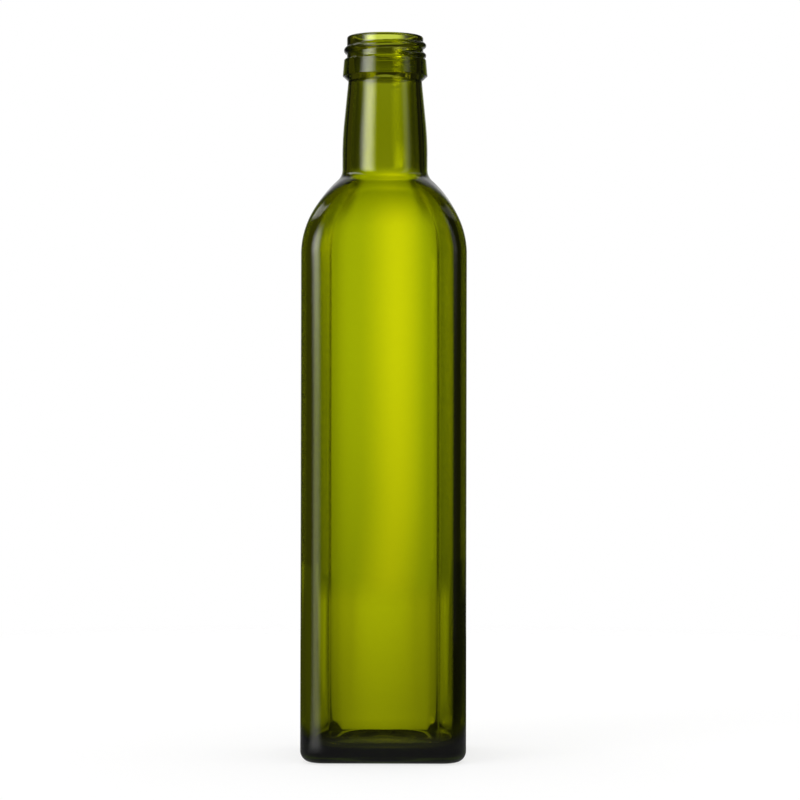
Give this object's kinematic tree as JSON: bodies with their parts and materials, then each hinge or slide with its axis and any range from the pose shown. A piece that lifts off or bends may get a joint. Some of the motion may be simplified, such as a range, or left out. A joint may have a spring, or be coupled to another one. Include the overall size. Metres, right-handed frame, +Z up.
{
  "type": "glass seasoning bottle",
  "caption": "Empty square green glass bottle with rounded edges, sloping shoulders, round tapered neck, collar and screw thread, for oil or seasoning sauce.",
  "frame": {"origin": "middle of the base on the surface that the bottle stands on", "axes": "+Z up along the neck's axis, the four flat sides face along X and Y, and the side in the picture faces -Y"},
  "size_m": [0.06, 0.06, 0.265],
  "materials": {
    "green_glass": "clear olive-green moulded glass, smooth and glossy"
  },
  "bodies": {
    "root": {"bottle": "green_glass"}
  },
  "joints": []
}
